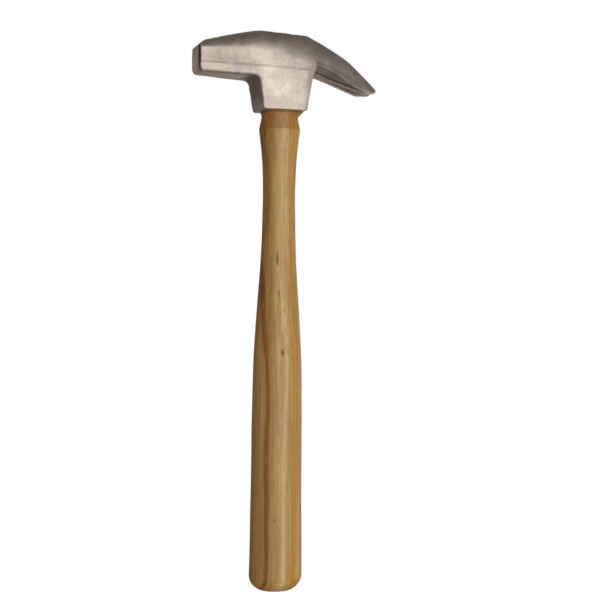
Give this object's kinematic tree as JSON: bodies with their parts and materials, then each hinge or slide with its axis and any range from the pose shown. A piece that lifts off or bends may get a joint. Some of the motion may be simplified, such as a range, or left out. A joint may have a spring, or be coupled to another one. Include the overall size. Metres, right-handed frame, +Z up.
{
  "type": "claw hammer",
  "caption": "Slim driving hammer with a squarish striking poll, a narrow curved claw with a nail slot, and an oval waisted wooden handle wedged into its socket.",
  "frame": {"origin": "middle of the small flat on the butt of the handle, on the handle's axis", "axes": "+Z up the handle towards the head; the striking face looks along -X and the claw points along +X; Y is across the cheeks"},
  "size_m": [0.113, 0.0292, 0.3389],
  "materials": {
    "head_steel": "satin, fine blasted grain",
    "handle_wood": "clear lacquered ash, straight grain",
    "wedge_wood": "raw dark hardwood end grain",
    "wedge_steel": "raw stamped steel"
  },
  "bodies": {
    "root": {"hammer_head": "head_steel", "handle": "handle_wood", "wood_wedge": "wedge_wood", "steel_wedge_front": "wedge_steel", "steel_wedge_rear": "wedge_steel"}
  },
  "joints": []
}
